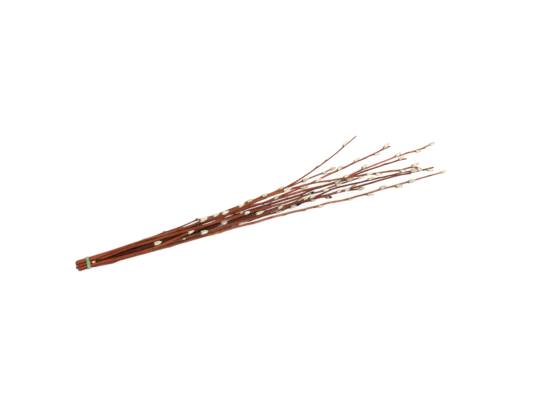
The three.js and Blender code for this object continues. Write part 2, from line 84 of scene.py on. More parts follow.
# Of each stem: its values, its route (X, Y, Z) and its shoots (X, side of the stem in degrees, 0 up, kind).
# The values are its slot in the bunch in degrees, the X of the cut, the slant of the cut and the side that
# it faces in degrees, the radius at the tip and the seed.
STEM_VALUES = ("slot", "butt", "cut", "facing", "tip", "seed")
INNER_STEMS = "fgl"
CATKIN_ENDS = "begijk"
STEMS = {
    "a": (
        (130, 4.1, 28, 10, 1.15, 11),
        [(90, -8, 19.5), (150, -8.7, 20.7), (200, -2.5, 21.2), (281, 8.8, 24.4), (358, 18.8, 30.5),
         (415, 28, 36), (480, 46.5, 41.5), (523, 63, 45), (559, 79, 48)],
        [(208, -12, "c"), (292, 60, "b"), (392, -50, "b"), (470, 60, "b"), (530, 55, "c")],
    ),
    "b": (
        (-30, 2.7, 22, 40, 1.15, 23),
        [(90, 8.8, 6.7), (140, 10.4, 6), (202, 13.8, 5.2), (238, 16.8, 4.7), (270, 15.7, 4.2),
         (330, 19.6, 3.6), (430, 27, 3.3), (506, 34, 2.78)],
        [(333, 50, "c"), (362, 55, "c"), (399, 60, "s"), (445, 10, "c"), (487, -45, "s")],
    ),
    "c": (
        (10, 4.7, 30, 60, 1.2, 37),
        [(90, 7.4, 11.8), (161, 6.8, 12), (238, 8.9, 15.5), (335, 10.1, 18.5), (374, 11.9, 20.5),
         (444, 18.9, 24.5), (496, 26, 28), (547, 33, 31), (620, 43, 35)],
        [(380, 20, "c"), (433, -35, "c"), (510, 5, "c"), (545, 40, "s"), (566, -30, "b"), (584, -45, "c"),
         (604, 50, "c")],
    ),
    "d": (
        (50, 3.1, 33, 20, 1.1, 41),
        [(90, 7.6, 17.7), (140, 9.6, 19), (240, 12.4, 25.5), (295, 13.9, 31), (334, 18, 36),
         (412, 20.5, 42), (455, 19, 45), (506, 11.8, 49), (560, 4.8, 52.5), (618, -4.7, 56.5),
         (644, -7.2, 58), (657, -13.5, 58.5)],
        [(238, 45, "c"), (263, 65, "t"), (279, 30, "c"), (311, 70, "c"), (396, 15, "c"), (458, 75, "c"),
         (512, 45, "c"), (550, 5, "c"), (571, -70, "s"), (598, 30, "b"), (616, -45, "c"), (640, 50, "c"),
         (650, -70, "s")],
    ),
    "e": (
        (-70, 5.1, 18, 0, 1.15, 53),
        [(90, 4.2, 4.3), (140, 5, 4.6), (240, 9, 7.6), (300, 10, 10), (337, 12.5, 12), (374, 10.4, 15),
         (433, 11.1, 21.5), (508, 8.9, 28.5), (541, 14.6, 31.5), (612, 20.1, 36), (673, 21.8, 39.5),
         (694, 24.3, 41)],
        [(480, -60, "b"), (554, 40, "c"), (622, 70, "c"), (661, -40, "c")],
    ),
    "f": (
        (150, 3.8, 25, -30, 1.15, 67),
        [(90, -2, 15.4), (145, -2.2, 18.8), (188, -0.6, 16), (240, 1.5, 16.2), (333, 5.7, 22),
         (390, 6.6, 27), (429, 6.2, 31), (460, 8.4, 34), (508, 7.4, 38), (548, 11.8, 40.5), (628, 13, 44.5),
         (640, 11.8, 45)],
        [(144, -5, "c"), (312, 50, "s"), (468, -40, "b"), (492, 25, "c"), (517, -45, "s"), (596, 60, "b"),
         (622, 45, "c")],
    ),
    "g": (
        (30, 2.3, 20, 0, 1.15, 71),
        [(90, 2.2, 11), (140, 1.2, 11), (200, 0, 10.8), (220, -1.1, 11), (240, -2.2, 12.2), (270, -3, 16),
         (300, -4, 20.2), (350, -5.9, 24), (400, -6.8, 24.5), (430, -5, 26), (461, -5.6, 27),
         (500, -1.9, 27.2), (564, -6.8, 29), (623, -10, 31), (648, -13, 32)],
        [(273, 5, "c"), (341, 35, "c"), (380, 60, "c"), (420, 45, "c"), (558, 70, "c"), (594, -30, "b")],
    ),
    "h": (
        (170, 4.4, 35, -40, 1.2, 83),
        [(90, -7.6, 12.3), (140, -7.6, 12.4), (240, -8.5, 18), (309, -9.9, 19), (348, -9.3, 19),
         (408, -6.2, 18.4), (467, -8.7, 18), (540, -11.5, 18.6), (610, -13, 19), (694, -18.8, 19.5)],
        [(194, -35, "n"), (233, 0, "c"), (446, 35, "c"), (498, 25, "s"), (512, -5, "s"), (531, 55, "t"),
         (569, -20, "b"), (623, 30, "b"), (677, -40, "t")],
    ),
    "i": (
        (-110, 1.9, 24, 0, 1.1, 97),
        [(90, -6.4, 4), (140, -7.4, 4.7), (240, -9.8, 8.5), (329, -12, 9.6), (405, -11.6, 9.4),
         (440, -9.8, 9.3), (508, -11.8, 9.5), (545, -16.6, 10)],
        [(306, -5, "c"), (377, -20, "t"), (407, 10, "c"), (422, 20, "d"), (447, -40, "s"), (477, -70, "c")],
    ),
    "j": (
        (90, 3.5, 30, -15, 1.2, 101),
        [(90, 3.8, 21.8), (145, 4.3, 23.7), (215, 3.7, 26.8), (272, 2.7, 29), (349, 2.1, 31.4),
         (450, 1.1, 32.8), (466, 0.6, 32.6), (491, 2.5, 32.3), (545, 3.4, 32)],
        [(31, -36, "n"), (38, -30, "d"), (318, 10, "c"), (443, 30, "c"), (470, -25, "c"), (495, 0, "c")],
    ),
    "k": (
        (-150, 4.0, 26, -60, 1.2, 113),
        [(71, -10.1, 7.3), (140, -12.4, 7), (213, -13.9, 6), (309, -17, 4.8), (387, -20.3, 3.9),
         (440, -23, 3.5), (486, -23.8, 3.3), (510, -27.4, 3.2), (560, -29, 3.2), (640, -30.8, 3),
         (712, -32.6, 2.2)],
        [(108, 40, "n"), (256, -20, "b"), (288, 35, "b"), (394, -35, "b"), (459, -75, "c"), (521, -60, "n"),
         (557, -55, "c"), (585, 60, "c"), (614, -60, "l"), (641, -10, "c")],
    ),
    "l": (
        (-90, 3.2, 24, 20, 1.5, 131),
        [(90, -1, 6.8), (140, -2, 6.3), (200, -3.8, 6.2), (240, -4, 6.6), (300, -1.2, 8.2),
         (352, 0.4, 10.5), (378, 1.6, 11.5)],
        [(338, -40, "b")],
    ),
}

# Values of the looks alone.

SIDES = 20  # round a stem
RING_STEP = 2.2  # along a stem
TIP_RINGS = (0.0, 0.55, 0.95)  # past the end of the route
TIP_SHARES = (0.93, 0.8, 0.62, 0.3)  # of the radius, at the last rings
TIP_EXTRA = 0.3  # added to the source's radius at a stem's tip, and less towards the butt
BARK_SHARE = 0.95  # of the radius at the cut, outside which there is bark
CUT_RINGS = ((0.955, 0.02), (0.9, 0.16), (0.84, 0.06), (0.62, 0.0), (0.4, 0.03), (0.2, 0.05), (0.13, 0.3))
CUT_ROUGH = 0.035
CATKIN_SIDES = 18
CATKIN_RINGS = 16
CORE_SHARE = 0.93  # the fur stands on a core of this share of the catkin
CATKIN_LONGER = 1.05  # of the source's length, with the tip's fur
FUR_START, FUR_END = 0.03, 0.98  # shares of the catkin's length
HAIRS_PER_MM2 = 4.6
HAIR_RISE = (8, 23)  # degrees off the catkin
HAIR_REACH = (1.3, 2.5)
HAIR_WIDTH = (0.1, 0.17)
HAIR_THICK = 0.09
CAP_END = 1.12  # share of the catkin's length that a dark cap ends at
FREE_FROM = 420.0  # the stems lie apart from here on, and catkins stand beside the bark
FREE_ROOT, FREE_LEAN = 0.35, 5
LARGER_BUD = 1.25
BAND_STEPS, BAND_SIDES = 180, 16
BAND_HALF_WIDTH, BAND_HALF_THICK = 1.45, 0.46
BAND_PATH = 2.0  # from the outer stems' axes to the line that the band is swept along
CROSSING = radians(62)

# Where the bark leaves the plain stem's line or girth: along the stem, sideways, thicker.
BARK_LINES = {
    "a": ((222, 0, 0), (255, -2, -0.3), (280, -2, -0.3), (308, 0, 0), (380, 0, 0), (430, 0, -0.3),
          (559, 0, -0.35)),
    "b": ((50, 0, 0), (80, -0.5, 0), (140, -0.5, -0.2), (168, -0.2, -0.8), (205, -0.2, -0.9),
          (240, -0.6, -0.8), (300, 0, -0.4), (360, 0, 0), (410, 0, 0), (450, 0, -0.25)),
    "d": ((145, 0, 0), (170, -1.7, -0.3), (222, -1.7, -0.3), (248, 0, 0), (540, 0, 0), (570, 0, 0.25)),
    "e": ((190, 0, 0), (215, -1.2, 0.4), (240, -1.2, 0.45), (258, -0.9, 0.1), (275, 0, 0), (360, 0, 0),
          (385, 0, 0.25), (440, 0, 0.25), (465, 0, 0)),
    "f": ((205, 0, 0), (228, -0.4, 0.2), (270, -0.4, 0.2), (300, 0, 0), (335, 0, 0), (362, -1.3, 0.25),
          (410, -1.3, 0.25), (440, 0, 0)),
    "g": ((212, 0, 0), (235, 0.4, 0.2), (280, 0.3, 0.3), (312, -0.2, 0.3), (325, -0.2, 0.3),
          (360, 0.9, 0.3), (400, 0.9, 0.3), (425, 0, 0)),
    "h": ((27, 0, 0), (36, -1.3, 0), (85, -1.2, 0), (112, 0, 0), (235, 0, 0), (262, 0.6, 0.35),
          (300, 0.7, 0.5), (335, 0.6, 0.4), (375, 0.2, 0.3), (395, 0, 0.4), (415, 0, 0.4), (435, 0, 0.1)),
    "i": ((130, 0, 0), (155, -0.4, 0.4), (262, -0.6, 0.5), (283, -0.6, 0.45), (300, 0, 0), (375, 0, 0),
          (390, 0.8, 0.4), (412, 0.8, 0.4), (435, 0.4, 0.2)),
    "j": ((272, 0, 0), (290, -0.5, 0.3), (315, -0.5, 0.3), (340, 0, 0), (365, -1.6, 0.25),
          (415, -1.6, 0.25), (440, 0, 0)),
    "k": ((26, 0, 0), (34, -2.4, 0.1), (66, -2.3, 0.1), (80, -0.4, 0), (120, -0.3, 0.2), (150, -0.4, 0.5),
          (262, -0.2, 0.7), (285, -0.1, 0.6), (300, -0.2, 0.3), (345, -0.6, 0.2), (372, 0.5, 0.1),
          (420, 0.5, 0.1), (445, 0, 0), (465, -0.8, 0), (485, -0.8, 0), (520, 0, 0), (640, 0, 0),
          (660, 0, -0.15)),
    "l": ((95, 0, 0), (122, -0.9, 0.3), (180, -0.9, 0.3), (215, -0.7, 0.2), (245, -1.3, 0.3),
          (300, -1.3, 0.3), (345, -1.5, 0.4), (378, -1.5, 0.4)),
}
# Shoots, named by stem and X, that are drawn further along their stem than the source's, or less far.
MOVED = dict(
    b502=2, c584=0.8, c604=1.8, d238=-3, d263=-2.5, d279=-1.5, d550=2, e554=1, e661=1, f492=2.5,
    f622=2.5, g341=-3, g558=2, h194=3.5, h233=-1.5, h512=1.2, h531=-2, h677=2, i306=-3.5, i407=-1.5,
    i422=-4.5, i447=1.5, i541=2, j31=-2.2, j38=-1.5, j318=-1.5, j443=-1, j495=1, k459=1.5, k614=1.5,
    k708=1.5,
)
# Shoots that are drawn larger or smaller.
SIZES = dict(
    a208=0.92, b502=0.85, c380=0.82, c584=0.8, d238=1.14, d263=1.22, d279=1.06, d512=0.95, d550=0.88,
    d616=0.9, d650=0.88, e661=0.78, f144=1.18, f312=0.62, f517=1.15, f622=0.88, g273=0.86, g341=1.12,
    g420=0.86, h233=1.15, i306=1.22, i407=1.1, i422=1.7, i447=0.82, i477=1.06, j38=1.12, j443=0.76,
    k459=0.9, k614=0.9,
)
# Catkins that are drawn more to one side of their stem: the direction round it.
SIDEWAYS = dict(
    a530=80, c510=45, c545=80, c584=-70, c604=80, d512=82, d571=-80, d616=-80, d640=70, e554=80, e622=85,
    e661=-70, f622=80, g420=75, g558=85, h531=85, h677=-80, k459=-88, k557=-78, k585=80, k614=-76,
)
# Catkins drawn olive grey as painted shade, where they lie in the bunch's shade: the share of their cream
# colour that is kept.
PAINTED_SHADE_CATKINS = dict(f517=0.85, g420=0.6, h194=0.3, i377=0.35, i477=0.35, j443=0.35)
# Catkins that still wear their bud scale as a dark cap: the share of the catkin that it starts at.
CAPPED = dict(i477=0.7, j443=0.5)
# Catkins of the photo that the plain stem has no room for: along the stem, direction, length, radius.
ADDED = {"g": ((432, 22, 10.5, 1.9), (443, 25, 14.0, 2.25))}

# Bark of each stem: the main colour, how much of it is the brighter streaks, and the share of the
# colour left at the butt end as painted shade, where the stem lies deep in the bunch, up to which
# shares of its length.
SHADE = (0.8, 0.36, 0.6)
BARK = {
    "a": ((0.214, 0.034, 0.0075), 0.6, (1.0, 0.2, 0.3)),
    "b": ((0.232, 0.04, 0.013), 0.45, SHADE),
    "c": ((0.31, 0.056, 0.03), 0.4, SHADE),
    "d": ((0.214, 0.05, 0.016), 0.55, (0.9, 0.36, 0.6)),
    "e": ((0.405, 0.1, 0.047), 0.45, (0.5, 0.36, 0.6)),
    "f": ((0.148, 0.0215, 0.0066), 0.5, (0.38, 0.36, 0.6)),
    "g": ((0.15, 0.022, 0.008), 0.48, (0.5, 0.46, 0.6)),
    "h": ((0.195, 0.042, 0.02), 0.42, SHADE),
    "i": ((0.19, 0.037, 0.015), 0.42, (0.6, 0.36, 0.6)),
    "j": ((0.172, 0.027, 0.0072), 0.62, (1.0, 0.36, 0.6)),
    "k": ((0.317, 0.09, 0.045), 0.5, (0.62, 0.26, 0.38)),
    # l lies deepest in the bunch and is drawn near black: painted shade.
    "l": ((0.065, 0.017, 0.009), 0.35, SHADE),
}


def unit(v):
    v = np.asarray(v, float)
    return v / np.linalg.norm(v, axis=-1, keepdims=True)


def draws(seed):
    """Repeatable numbers from 0 to 1, the same as in the part's source."""
    factor, modulus = 16807, 2147483647
    state = seed * 7919
    while True:
        state = (state * factor) % modulus
        yield state / modulus


def between(limits, share):
    return limits[0] + (limits[1] - limits[0]) * share


# Numbers times a vector: a vector for each number.
outer = np.multiply.outer


def slot_point(stem):
    radius = INNER_RADIUS if stem["name"] in INNER_STEMS else PACK_RADIUS
    angle = radians(stem["slot"])
    return radius * cos(angle), BUNCH_Z + radius * sin(angle)


def smooth(points, axis, x):
    """Height or sideways place at x, smooth through the points of a route."""
    i = 0
    while i < len(points) - 2 and x > points[i + 1][0]:
        i += 1

    def slope(n):
        low = points[max(0, n - 1)]
        high = points[min(len(points) - 1, n + 1)]
        return (high[axis] - low[axis]) / (high[0] - low[0])

    a, b = points[i], points[i + 1]
    span = b[0] - a[0]
    t = min(1.2, max(0.0, (x - a[0]) / span))
    t2, t3 = t * t, t * t * t
    return (
        (2 * t3 - 3 * t2 + 1) * a[axis]
        + (t3 - 2 * t2 + t) * span * slope(i)
        + (3 * t2 - 2 * t3) * b[axis]
        + (t3 - t2) * span * slope(i + 1)
    )


def axis_point(stem, x):
    return np.array([x, smooth(stem["points"], 1, x), smooth(stem["points"], 2, x)])


def axis_frame(stem, x):
    """Directions at x: along the stem, sideways and up."""
    along = unit(axis_point(stem, x + 1) - axis_point(stem, x - 1))
    side = unit(np.cross([0.0, 0.0, 1.0], along))
    return along, side, np.cross(along, side)


def roll_direction(directions, roll):
    _, side, up = directions
    angle = radians(roll)
    return up * cos(angle) + side * sin(angle)


def stem_radius(stem, x):
    share = min(1.0, max(0.0, x / stem["end"]))
    return stem["tip"] + (BUTT_RADIUS - stem["tip"]) * (1 - share**TAPER_POWER)


def bark_line(stem, x):
    """How far the bark lies sideways of the plain stem at x, and how much thicker it is."""
    places, sideways, thicker = zip(*BARK_LINES.get(stem["name"], ((0, 0, 0),)))
    tip_extra = TIP_EXTRA * min(1.0, max(0.0, x / stem["end"]))
    return np.interp(x, places, sideways), np.interp(x, places, thicker) + tip_extra


def shoot_axis(stem, shoot):
    directions = axis_frame(stem, shoot["x"])
    out = roll_direction(directions, shoot["roll"])
    start = axis_point(stem, shoot["x"]) + out * stem_radius(stem, shoot["x"]) * shoot["root"]
    lean = radians(shoot["lean"])
    return start, directions[0] * cos(lean) + out * sin(lean), out


def balls(stem, shoot):
    """Centres and radii of the balls that stand for a shoot in the tests of its clearances."""
    start, along, _ = shoot_axis(stem, shoot)
    length, radius = shoot["length"], shoot["radius"]
    return [(start + along * length * share, radius * width) for share, width in CATKIN_OUTLINE]


def is_clear(stem, shoot, others, placed):
    """True where a shoot clears the floor, the other stems and the shoots that are placed already."""
    for p, size in balls(stem, shoot):
        if p[2] - size < shoot["floor"]:
            return False
        for other in others:
            if p[0] > other["end"] + NEAR_TIP:
                continue
            q = axis_point(other, min(p[0], other["end"]))
            reach = size + stem_radius(other, p[0]) * NODE_SWELL + CLEARANCE
            if hypot(p[1] - q[1], p[2] - q[2]) < reach:
                return False
        for name, x, ball, ball_size in placed:
            gap = dist(p, ball) - size - ball_size
            if name == stem["name"]:
                if x != shoot["x"] and gap < -OWN_OVERLAP:
                    return False
            elif gap < CLEARANCE:
                return False
    return True


def place_shoot(stem, shoot, stems, placed):
    others = [s for s in stems if s is not stem]
    for turn in TURNS:
        for lean in (shoot["lean"], shoot["lean"] * 0.6):
            trial = {**shoot, "roll": shoot["roll"] + turn, "lean": lean}
            if is_clear(stem, trial, others, placed):
                placed += [(stem["name"], trial["x"], *ball) for ball in balls(stem, trial)]
                stem["shoots"].append(trial)
                return


def new_shoot(x, roll, kind, random):
    shoot = {"x": x, "roll": roll, "kind": kind, "floor": 0.2}
    if kind == "b":
        return {**shoot, "length": BUD_LENGTH, "radius": BUD_RADIUS,
                "lean": between(BUD_LEAN, next(random)), "root": 0.62}
    long, thick = SHARES[kind]
    return {**shoot, "length": between(CATKIN_LENGTH, next(random)) * long,
            "radius": between(CATKIN_RADIUS, next(random)) * thick,
            "lean": between(CATKIN_LEAN, next(random)), "root": 0.45}


def grown_stems():
    """The stems with their routes and shoots, placed as in the part's source."""
    stems = []
    for name, (values, route, wanted) in STEMS.items():
        stem = {**dict(zip(STEM_VALUES, values)), "name": name, "wanted": wanted, "shoots": []}
        points = [*((x, *slot_point(stem)) for x in STRAIGHT), *route]
        stems.append({**stem, "points": points, "end": points[-1][0]})
    placed = []
    for stem in stems:
        stem["random"] = draws(stem["seed"])
        if stem["name"] in CATKIN_ENDS:
            shoot = new_shoot(stem["end"] - 4, 20, "c", stem["random"])
            place_shoot(stem, {**shoot, "lean": 4, "root": 0.1, "floor": -0.6}, stems, placed)
        for x, roll, kind in stem["wanted"]:
            place_shoot(stem, new_shoot(x, roll, kind, stem["random"]), stems, placed)
    for stem in stems:
        roll = 360 * next(stem["random"])
        x = between(FIRST_BUD, next(stem["random"]))
        while x < stem["end"] - 14:
            roll += LEAF_TURN
            if min(abs(w[0] - x) for w in stem["wanted"]) > BUD_APART:
                place_shoot(stem, new_shoot(x, roll % 360, "b", stem["random"]), stems, placed)
            x += NODE_SPACING
    return stems


# Meshes.


def linked(name, data):
    """A new object with the data, in the scene."""
    made = bpy.data.objects.new(name, data)
    bpy.context.scene.collection.objects.link(made)
    return made


def make_object(name, points, faces, materials, is_cut=None, **attributes):
    """An object of points in millimetres, with a value or vector of each attribute for each point.

    Cut faces are flat and have the second material.
    """
    mesh = bpy.data.meshes.new(name)
    mesh.from_pydata((points - ORIGIN) / 1000, [], faces)
    if is_cut is None:
        is_cut = np.zeros(len(faces), bool)
    mesh.polygons.foreach_set("use_smooth", ~is_cut)
    mesh.polygons.foreach_set("material_index", is_cut.astype(np.int32))
    for material in materials:
        mesh.materials.append(material)
    for key, values in attributes.items():
        kind, field = ("FLOAT_VECTOR", "vector") if values.ndim == 2 else ("FLOAT", "value")
        layer = mesh.attributes.new(key, kind, "POINT")
        layer.data.foreach_set(field, values.astype(np.float32).ravel())
    mesh.validate()
    return linked(name, mesh)


def tube_faces(rings, sides, closed=False):
    """Quads between rings of points, outwards for rings that turn from up to side along the axis."""
    faces = []
    for r in range(rings if closed else rings - 1):
        here, there = r * sides, (r + 1) % rings * sides
        for k in range(sides):
            n = (k + 1) % sides
            faces.append((here + k, there + k, there + n, here + n))
    return faces


def spindle_faces(rings, sides):
    """A tube that fans close to the two points that follow the rings' points, at its start and end."""
    first, last = rings * sides, (rings - 1) * sides
    following = [(k, (k + 1) % sides) for k in range(sides)]
    return (tube_faces(rings, sides) + [(k, n, first) for k, n in following]
            + [(last + k, first + 1, last + n) for k, n in following])


def turned(faces):
    """The same faces looking the other way, for a shoot's rings, which turn the other way."""
    return [(f[0], *f[:0:-1]) for f in faces]


def round_angles(sides):
    return 2 * pi * np.arange(sides) / sides


class Parts:
    """Points, faces and attributes of several closed forms, gathered into one mesh."""

    def __init__(self):
        self.points, self.faces, self.attributes, self.count = [], [], {}, 0

    def add(self, points, faces, **attributes):
        """An attribute has a value for each point, or one for all."""
        self.points.append(points)
        self.faces.extend(tuple(i + self.count for i in f) for f in faces)
        for key, values in attributes.items():
            values = np.full(len(points), values) if np.isscalar(values) else np.asarray(values, float)
            self.attributes.setdefault(key, []).append(values)
        self.count += len(points)

    def add_spindle(self, rings, ends, run, lit_share=1.0, **attributes):
        """A shoot's rings, closed by a point at each end; run is the share of the length at each ring."""
        sides = len(rings[0])
        # A share under 1 turns a catkin olive grey: painted shade.
        share = np.concatenate([np.repeat(run, sides), [0, 1]]) * lit_share
        faces = turned(spindle_faces(len(rings), sides))
        self.add(np.concatenate([*rings, ends]), faces, share=share, **attributes)

    def object(self, name, material):
        joined = {k: np.concatenate(v) for k, v in self.attributes.items()}
        return make_object(name, np.concatenate(self.points), self.faces, [material], **joined)


def ripple(random, count, low, high):
    """A smooth function of x made of sines with wavelengths between low and high."""
    waves = 2 * pi / random.uniform(low, high, count)
    phases = random.uniform(0, 2 * pi, count)
    return lambda x: np.sin(outer(x, waves) + phases).mean(-1)


def bell(distance, width):
    """1 at a distance of 0, and soon 0 past the width."""
    return exp(-((distance / width) ** 2))


def stem_nodes(stem):
    """The shoots that the bark swells and kinks at, none too close to the one before."""
    kept, last = [], BAND_X + NODE_APART
    before_tip = [s for s in stem["shoots"] if s["x"] < stem["end"] - NEAR_TIP]
    for shoot in sorted(before_tip, key=lambda s: s["x"]):
        if shoot["x"] - last > NODE_APART:
            kept.append(shoot)
            last = shoot["x"]
    return kept


def bark_relief(stem, x, turn):
    """Round a ring at x: how far cushions under the shoots rise, and how dark their scars, and the painted
    shade beside a catkin, make it.
    """
    rise, dark = np.zeros(len(turn)), np.zeros(len(turn))
    for shoot in stem["shoots"]:
        step = x - shoot["x"]
        if shoot["x"] >= stem["end"] - NEAR_TIP or abs(step) > 14:
            continue
        bud = shoot["kind"] in BUDS
        facing = np.cos(turn - radians(shoot["roll"]))
        # The cushion under a shoot rises slowly from the butt side and ends past the bud.
        rise += bell(step, 4.6 if step < 0 else 2.2) * np.clip(facing, 0, 1) ** 2 * (0.3 if bud else 0.42)
        # The leaf scar is a narrow crescent just below it, on a thin line round the stem.
        scar = bell(step + 0.9, 1.3) * np.clip((facing - 0.2) / 0.8, 0, 1)
        dark = np.maximum(dark, np.maximum(scar, 0.45 * bell(step + 0.4, 0.9)))
        if not bud:
            # The bark darkens towards a catkin, a painted shade on the butt side of its foot.
            dark = np.maximum(dark, 0.5 * bell(step + 4.0, 3.2))
    return rise, dark


def bark_piece(stem, materials):
    """A stem's bark, closed by a rough slanted cut and a pointed tip."""
    random = np.random.default_rng(stem["seed"])
    butt, end = stem["butt"], stem["end"]
    xs = np.concatenate([np.arange(butt, end - 0.5, RING_STEP), end + np.array(TIP_RINGS)])
    shares = np.ones(len(xs))
    shares[-len(TIP_SHARES):] = TIP_SHARES
    nodes = stem_nodes(stem)
    turn = round_angles(SIDES)
    wide, ridge, twist = (ripple(random, 4, *limits) for limits in ((18, 60), (9, 30), (60, 160)))
    rings = []  # points, centre, X, darkness and share of the radius of each ring
    for x, share in zip(xs, shares):
        directions = axis_frame(stem, x)
        centre = axis_point(stem, min(x, end)) + directions[0] * max(0.0, x - end)
        swell = 0.0
        for node in nodes:
            near = bell(x - node["x"], 9)
            if near > 1e-4:
                towards = roll_direction(axis_frame(stem, node["x"]), node["roll"])
                centre = centre + towards * NODE_KINK * near
                swell += bell(x - node["x"], 4.2)
        sideways, thicker = bark_line(stem, x)
        centre = centre + [0.0, sideways, 0.0]
        radius = (stem_radius(stem, x) + thicker) * (0.965 + 0.07 * min(1.0, swell) + 0.025 * wide(x))
        around = radius * (
            1 + 0.018 * np.cos(2 * turn + 3 * twist(x)) + 0.012 * np.cos(5 * turn + 4 * twist(x + 40))
        )
        rise, dark = bark_relief(stem, x, turn)
        around = (around + 0.05 * ridge(x) * np.cos(3 * turn + 1.5) + rise) * share
        _, side, up = directions
        ring = centre + outer(around * np.cos(turn), up) + outer(around * np.sin(turn), side)
        if x == butt:
            towards = roll_direction(directions, stem["facing"])
            ring[:, 0] += (ring - centre) @ towards * tan(radians(stem["cut"]))
        rings.append((ring, centre, x, dark, 1.0))
    # The cut: rings from the bark's rim in to the pith, on the slanted plane.
    rim, centre = rings[0][:2]
    for share, sink in CUT_RINGS:
        ring = centre + (rim - centre) * share
        ring[:, 0] += sink + random.normal(0, CUT_ROUGH, SIDES) * (share < BARK_SHARE)
        rings.insert(0, (ring, centre, butt, np.zeros(SIDES), share))
    loops, centres, along, darks, radial = zip(*rings)
    pith = centre + [0.34, 0, 0]
    tip = centres[-1] + axis_frame(stem, end)[0] * 0.2
    local = np.concatenate(loops) - np.repeat(centres, SIDES, 0)
    faces = spindle_faces(len(rings), SIDES)
    is_cut = np.zeros(len(faces), bool)
    is_cut[:(len(CUT_RINGS) - 1) * SIDES] = True
    is_cut[-2 * SIDES:-SIDES] = True
    return make_object(
        f"bark_{stem['name']}", np.concatenate([*loops, [pith, tip]]), faces, materials, is_cut,
        grain=np.concatenate([np.c_[local[:, 1:], np.repeat(along, SIDES)], [[0, 0, butt], [0, 0, xs[-1]]]]),
        dark=np.concatenate([*darks, [0, 0.3]]),
        radial=np.concatenate([np.repeat(radial, SIDES), [0, 1]]),
        along_share=np.concatenate([np.repeat(along, SIDES) / end, [0, 1]]),
        aged=np.full(len(rings) * SIDES + 2, (stem["seed"] * 37 % 100) / 100),
    )


def shoot_frame(stem, shoot):
    start, along, out = shoot_axis(stem, shoot)
    side = unit(np.cross(along, out))
    return start, along, side, np.cross(side, along)


def catkin_profile(t):
    """Share of the catkin's radius at a share of its length: round at the base, tapered to the tip."""
    t, widest = np.clip(t, 0, 1), 0.36
    rise = np.clip(1 - ((widest - t) / widest) ** 2, 0, 1) ** 0.55
    fall = np.clip(1 - ((t - widest) / (1 - widest)) ** 2.1, 0, 1) ** 0.78
    return np.where(t < widest, rise, fall)


def catkin_point(frame_of, shoot, t, angle=0.0, radius=0.0):
    """Points on or off a catkin's surface, whose axis bends back a little along the stem."""
    start, along, side, up = frame_of
    t, angle, radius = np.broadcast_arrays(t, angle, radius)
    axis = start + outer(shoot["length"] * t, along)
    lifted = radius * np.cos(angle) - 0.045 * shoot["length"] * t**2
    return axis + outer(lifted, up) + outer(radius * np.sin(angle), side)


def add_catkin(parts, stem, shoot, random, fur_end, lit_share):
    """A catkin's core and its fur up to a share of its length; the last argument is 1 for cream and less for
    olive grey painted shade.
    """
    frame_of = shoot_frame(stem, shoot)
    if fur_end == FUR_END:
        shoot = {**shoot, "length": shoot["length"] * CATKIN_LONGER}
    full = shoot["radius"] * CORE_SHARE
    t = (1 - np.cos(pi * np.linspace(0.09, 0.965, CATKIN_RINGS - 2))) / 2
    turn = round_angles(CATKIN_SIDES)
    flat = 0.05 * random.random()
    lump = ripple(random, 3, 0.2, 0.5)
    rings = []
    for share in t:
        radius = full * catkin_profile(share) * (1 + 0.03 * lump(share)) * (1 - flat * np.cos(turn) ** 2)
        radius = radius * (1 + 0.03 * random.normal(size=CATKIN_SIDES))
        rings.append(catkin_point(frame_of, shoot, share, turn, radius))
    ends = catkin_point(frame_of, shoot, np.array([0.0, 1.0]))
    parts.add_spindle(rings, ends, t, lit_share, tone=0.5, core=1.0)
    add_fur(parts, frame_of, shoot, random, fur_end, lit_share)


def add_fur(parts, frame_of, shoot, random, fur_end, lit_share):
    """Flat-lying spikes on a catkin's core, each a thin closed pyramid."""
    full = shoot["radius"] * CORE_SHARE
    count = int(2 * pi * full * shoot["length"] * 0.72 * HAIRS_PER_MM2)
    s = random.beta(1.15, 1.0, count) * (fur_end - FUR_START) + FUR_START
    angle = random.uniform(0, 2 * pi, count)

    def on_core(t, out=1.0):
        return catkin_point(frame_of, shoot, t, angle, full * catkin_profile(t) * out)

    root = on_core(s, 0.97)
    tangent = unit(on_core(s + 0.02) - on_core(s - 0.02))
    _, _, side, up = frame_of
    outward = outer(np.cos(angle), up) + outer(np.sin(angle), side)
    normal = unit(outward - tangent * (outward * tangent).sum(-1, keepdims=True))
    across = np.cross(tangent, normal)
    rise = np.radians(random.uniform(*HAIR_RISE, count))[:, None]
    veer = random.normal(0, 0.2, count)[:, None]
    point_to = unit(tangent * np.cos(rise) + normal * np.sin(rise) + across * veer)
    reach = random.uniform(*HAIR_REACH, count)[:, None] * (0.75 + 0.25 * shoot["radius"] / 3.2)
    reach = reach * np.clip((1.15 - s) / 0.4, 0.55, 1)[:, None]  # shorter at the tip
    width = random.uniform(*HAIR_WIDTH, count)[:, None]
    out = (-across * width, across * width, normal * HAIR_THICK, point_to * reach)
    cloud = np.stack([root + v for v in out], 1).reshape(-1, 3)
    cloud[:, 2] = np.maximum(cloud[:, 2], 0.02)
    first = 4 * np.arange(count)[:, None]
    faces = np.concatenate([first + f for f in ([0, 2, 3], [2, 1, 3], [1, 0, 3], [0, 1, 2])])
    tone = np.repeat(random.random(count), 4)
    parts.add(cloud, faces.tolist(), share=np.repeat(s, 4) * lit_share, tone=tone, core=0.0)


def add_cap(parts, stem, shoot, start):
    """The bud scale that a young catkin still wears from a share of its length on, a closed pointed cap."""
    frame_of = shoot_frame(stem, shoot)
    turn = round_angles(14)
    run = np.array([0.0, 0.03, 0.11, 0.24, 0.38, 0.51, 0.65, 0.78, 0.89, 1.0])
    widths = np.array([1.0, 1.1, 1.09, 1.04, 0.96, 0.85, 0.7, 0.49, 0.28, 0.08]) * catkin_profile(start)
    shares = start + (CAP_END - start) * run
    rings = [
        catkin_point(frame_of, shoot, share, turn, shoot["radius"] * width * (1 + 0.06 * np.cos(turn) ** 5))
        for share, width in zip(shares, widths)
    ]
    parts.add_spindle(rings, catkin_point(frame_of, shoot, shares[[0, -1]]), run, tone=-1.0)


